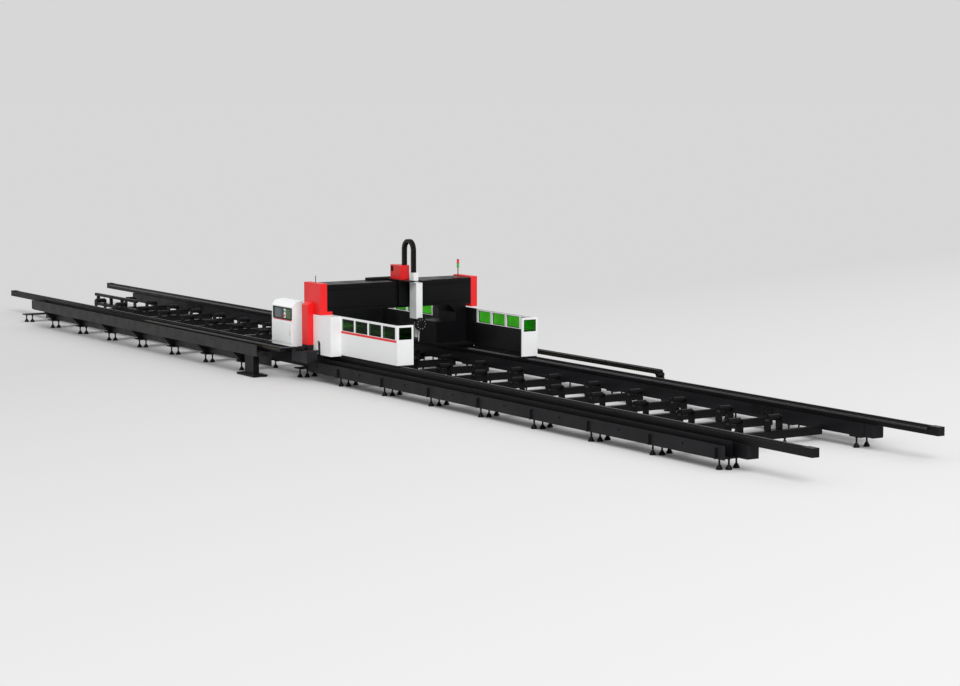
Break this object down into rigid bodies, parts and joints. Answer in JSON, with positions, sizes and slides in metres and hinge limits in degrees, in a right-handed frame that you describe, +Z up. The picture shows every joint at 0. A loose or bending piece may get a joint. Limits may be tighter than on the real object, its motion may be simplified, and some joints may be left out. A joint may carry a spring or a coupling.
{
  "type": "laser cutting machine",
  "caption": "Gantry laser cutting machine: a black portal with red ends, white screens with green windows and an operator's console rides long floor rails over a roller bed.",
  "frame": {"origin": "on the floor, midway between the rails, level with the middle of the near rail bar", "axes": "+X along the bed, +Y across it away from the operator's console, +Z up"},
  "size_m": [38.5, 5.565, 3.272],
  "materials": {
    "bed_grey": "satin grey paint",
    "bed_black": "satin black paint",
    "rail_steel": "ground steel",
    "roller_steel": "blackened turned steel",
    "foot_steel": "dull zinc",
    "chain_black": "moulded black plastic",
    "gantry_black": "satin black paint",
    "red_paint": "satin red paint",
    "white_paint": "satin white paint",
    "panel_green": "dark green paint",
    "display_glass": "dark gloss",
    "button_green": "gloss",
    "button_red": "gloss",
    "green_glass": "tinted laser-safe pane",
    "stack_red": "dark red paint",
    "lamp_green": "tinted lens",
    "lamp_red": "tinted lens",
    "head_dark": "satin black paint",
    "head_silver": "anodised"
  },
  "bodies": {
    "bed": {"rail_beams": "bed_grey", "rail_bars": "bed_black", "guide_rails": "rail_steel", "racks": "rail_steel", "near_gutter": "bed_grey", "chain_tray": "bed_grey", "tray_post": "bed_grey", "far_chain_tray": "bed_grey", "cross_beams": "bed_black", "roller_stands": "bed_black", "support_rollers": "roller_steel", "end_frame": "bed_black", "foot_plates": "bed_black", "levelling_feet": "foot_steel", "near_chain_fixed": "chain_black", "far_chain_fixed": "chain_black"},
    "gantry": {"saddles": "gantry_black", "guide_blocks": "rail_steel", "legs": "gantry_black", "gantry_beam": "gantry_black", "beam_rails": "gantry_black", "end_boxes": "red_paint", "cable_duct": "red_paint", "near_tow_bracket": "bed_grey", "far_tow_bracket": "bed_grey", "console_shelf": "gantry_black", "console": "white_paint", "console_panel": "panel_green", "console_display": "display_glass", "leg_covers": "white_paint", "near_screen": "white_paint", "far_screen": "white_paint", "rear_screen": "white_paint", "window_panes": "green_glass", "stack_pole": "stack_red", "green_lamp": "lamp_green", "red_lamp": "lamp_red", "signal_rod": "gantry_black", "near_chain_moving": "chain_black", "far_chain_moving": "chain_black", "beam_chain_fixed": "chain_black"},
    "near_lower_bend": {"near_bend_lower": "chain_black"},
    "near_upper_bend": {"near_bend_upper": "chain_black"},
    "far_lower_bend": {"far_bend_lower": "chain_black"},
    "far_upper_bend": {"far_bend_upper": "chain_black"},
    "door": {"console_door": "white_paint"},
    "start": {"start_button": "button_green"},
    "stop": {"stop_button": "button_red"},
    "carriage": {"carriage": "gantry_black", "drive_box": "red_paint", "beam_chain_moving": "chain_black", "column_chain_fixed": "chain_black"},
    "beam_still_bend": {"beam_bend_fixed": "chain_black"},
    "beam_moving_bend": {"beam_bend_moving": "chain_black"},
    "ram": {"column": "white_paint", "column_chain_moving": "chain_black"},
    "column_still_bend": {"column_bend_fixed": "chain_black"},
    "column_moving_bend": {"column_bend_moving": "chain_black"},
    "rotary": {"rotary_head": "head_dark"},
    "tilt": {"tilting_head": "head_silver"}
  },
  "joints": [
    {"name": "gantry_travel", "type": "slide", "parent": "bed", "child": "gantry", "axis": [1, 0, 0], "range_m": [-13.4, 12.6], "deforming": ["near_chain_fixed", "near_chain_moving", "far_chain_fixed", "far_chain_moving"]},
    {"name": "carriage_travel", "type": "slide", "parent": "gantry", "child": "carriage", "axis": [0, 1, 0], "range_m": [-1.6, 0.85], "deforming": ["beam_chain_fixed", "beam_chain_moving"]},
    {"name": "column_travel", "type": "slide", "parent": "carriage", "child": "ram", "axis": [0, 0, 1], "range_m": [-0.2, 0.25], "deforming": ["column_chain_fixed", "column_chain_moving"]},
    {"name": "head_turn", "type": "hinge", "parent": "ram", "child": "rotary", "pos_m": [2.0503, 0.25, 1.37], "axis": [0, 0, 1], "range_deg": [-180, 180]},
    {"name": "head_tilt", "type": "hinge", "parent": "rotary", "child": "tilt", "pos_m": [2.0503, 0.25, 1.275], "axis": [1, 0, 0], "range_deg": [-45, 45]},
    {"name": "door_hinge", "type": "hinge", "parent": "gantry", "child": "door", "pos_m": [-0.515, -2.264, 1.04], "axis": [0, 0, -1], "range_deg": [0, 100]},
    {"name": "start_press", "type": "slide", "parent": "gantry", "child": "start", "axis": [0, 1, 0], "range_m": [0, 0.006], "stiffness_N_per_m": 800, "springref_m": -0.002},
    {"name": "stop_press", "type": "slide", "parent": "gantry", "child": "stop", "axis": [0, 1, 0], "range_m": [0, 0.006], "stiffness_N_per_m": 800, "springref_m": -0.002},
    {"name": "near_lower_bend_roll", "type": "slide", "parent": "bed", "child": "near_lower_bend", "axis": [1, 0, 0], "range_m": [-6.7, 6.3]},
    {"name": "near_upper_bend_roll", "type": "slide", "parent": "gantry", "child": "near_upper_bend", "axis": [1, 0, 0], "range_m": [-6.3, 6.7]},
    {"name": "far_lower_bend_roll", "type": "slide", "parent": "bed", "child": "far_lower_bend", "axis": [1, 0, 0], "range_m": [-6.7, 6.3]},
    {"name": "far_upper_bend_roll", "type": "slide", "parent": "gantry", "child": "far_upper_bend", "axis": [1, 0, 0], "range_m": [-6.3, 6.7]},
    {"name": "beam_still_bend_roll", "type": "slide", "parent": "gantry", "child": "beam_still_bend", "axis": [0, 1, 0], "range_m": [-0.8, 0.425]},
    {"name": "beam_moving_bend_roll", "type": "slide", "parent": "carriage", "child": "beam_moving_bend", "axis": [0, 1, 0], "range_m": [-0.425, 0.8]},
    {"name": "column_still_bend_roll", "type": "slide", "parent": "carriage", "child": "column_still_bend", "axis": [0, 0, 1], "range_m": [-0.1, 0.125]},
    {"name": "column_moving_bend_roll", "type": "slide", "parent": "ram", "child": "column_moving_bend", "axis": [0, 0, 1], "range_m": [-0.125, 0.1]}
  ],
  "couplings": [
    {"joint": "near_lower_bend_roll", "follows": "gantry_travel", "ratio": 0.5},
    {"joint": "near_upper_bend_roll", "follows": "gantry_travel", "ratio": -0.5},
    {"joint": "far_lower_bend_roll", "follows": "gantry_travel", "ratio": 0.5},
    {"joint": "far_upper_bend_roll", "follows": "gantry_travel", "ratio": -0.5},
    {"joint": "beam_still_bend_roll", "follows": "carriage_travel", "ratio": 0.5},
    {"joint": "beam_moving_bend_roll", "follows": "carriage_travel", "ratio": -0.5},
    {"joint": "column_still_bend_roll", "follows": "column_travel", "ratio": 0.5},
    {"joint": "column_moving_bend_roll", "follows": "column_travel", "ratio": -0.5}
  ]
}
